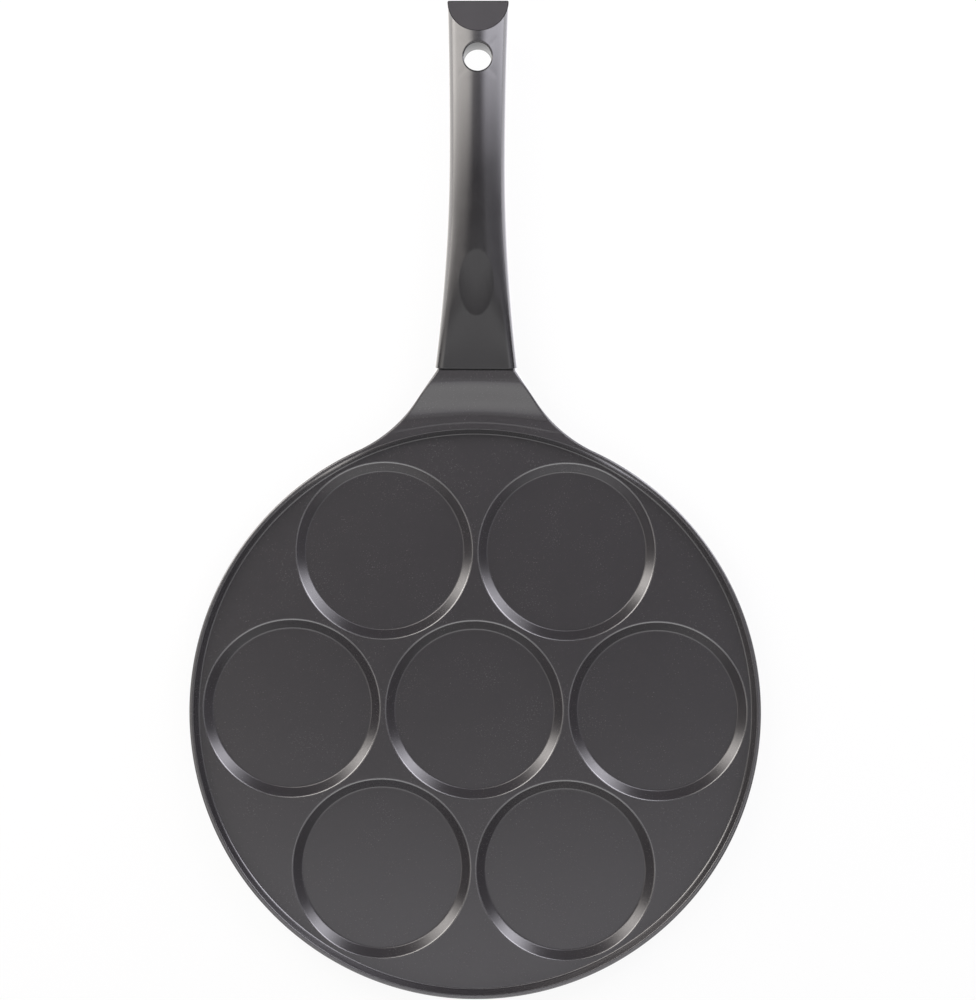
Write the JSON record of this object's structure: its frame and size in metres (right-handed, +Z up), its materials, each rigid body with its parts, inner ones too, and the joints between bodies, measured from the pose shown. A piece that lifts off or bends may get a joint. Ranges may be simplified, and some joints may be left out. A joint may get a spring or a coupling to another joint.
{
  "type": "pancake pan",
  "caption": "Round low-rimmed pan with shallow round pockets in its floor for small pancakes, a flared cast neck and a black moulded handle with a thumb scoop and a hang hole.",
  "frame": {"origin": "middle of the flat base's underside, on the surface that the pan stands on", "axes": "+Z up, +Y from the pan's middle along the handle, +X to the right seen from above with the handle away"},
  "size_m": [0.26, 0.4518, 0.0413],
  "materials": {
    "non_stick_coat": "dark grey sprayed non-stick coat on cast aluminium, satin, fine grained",
    "phenolic": "black phenolic moulding, satin, fine grained",
    "tail_plastic": "dark grey plastic, even satin",
    "zinc_steel": "bright zinc plating"
  },
  "bodies": {
    "root": {"pan_body": "non_stick_coat", "handle": "phenolic", "tail_plate": "tail_plastic", "handle_screw": "zinc_steel", "spring_washer": "zinc_steel", "flat_washer": "zinc_steel"}
  },
  "joints": []
}
